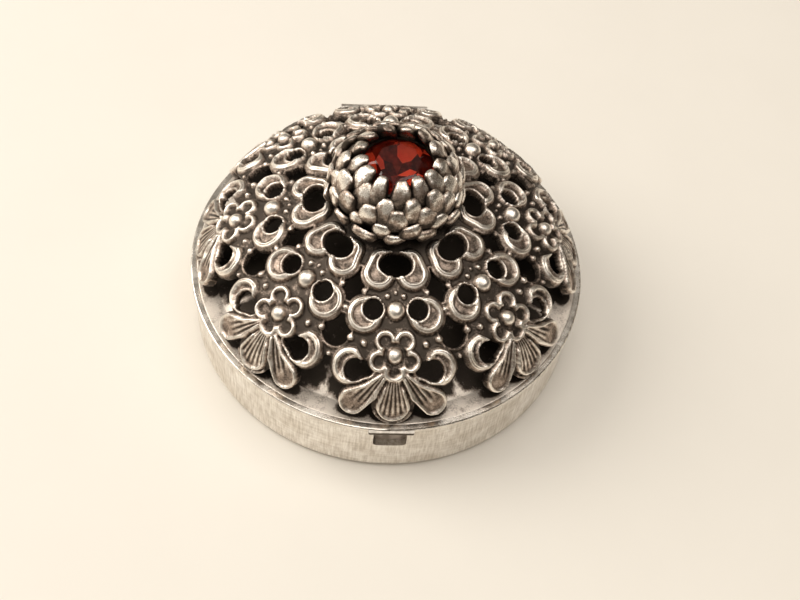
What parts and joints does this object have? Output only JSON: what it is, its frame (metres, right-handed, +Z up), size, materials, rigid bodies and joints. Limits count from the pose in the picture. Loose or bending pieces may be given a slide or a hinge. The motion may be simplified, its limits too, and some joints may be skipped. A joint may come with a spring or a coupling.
{
  "type": "trinket box",
  "caption": "Round hinged metal trinket box with a pierced filigree dome on its lid and a layered metal flower that holds a red faceted stone.",
  "frame": {"origin": "centre of the bottom face, on the axis of the round base", "axes": "+Z up through the flower, front with the nail notch at -Y, hinge at +Y"},
  "size_m": [0.05, 0.0522, 0.03],
  "materials": {
    "antiqued_silver": "antiqued silver plate, satin with dark recesses",
    "brushed_silver": "silver plate, brushed upright",
    "satin_silver": "silver plate, satin",
    "bright_silver": "silver plate, polished",
    "hinge_silver": "silver plate, worn",
    "dark_silver": "silver plate, blackened",
    "petal_silver": "antiqued silver plate, satin with dark recesses",
    "red_glass": "polished, foiled back"
  },
  "bodies": {
    "base": {"base_cup": "brushed_silver", "inner_collar": "brushed_silver", "hinge_leaf_base": "hinge_silver", "hinge_pin": "hinge_silver"},
    "lid": {"lid_plate": "satin_silver", "lid_rim": "bright_silver", "lid_skirt": "satin_silver", "thumb_lip": "bright_silver", "hinge_leaf_lid": "hinge_silver", "filigree_dome": "antiqued_silver", "flower_calyx": "dark_silver", "petal_tier_1": "petal_silver", "petal_tier_2": "petal_silver", "petal_tier_3": "petal_silver", "petal_tier_4": "petal_silver", "petal_tier_5": "petal_silver", "stone_cup": "dark_silver", "gem": "red_glass", "flower_post": "dark_silver", "rivet_washer": "dark_silver"}
  },
  "joints": [
    {"name": "lid_hinge", "type": "hinge", "parent": "base", "child": "lid", "pos_m": [0, 0.02605, 0.00945], "axis": [-1, 0, 0], "range_deg": [0, 105]}
  ]
}
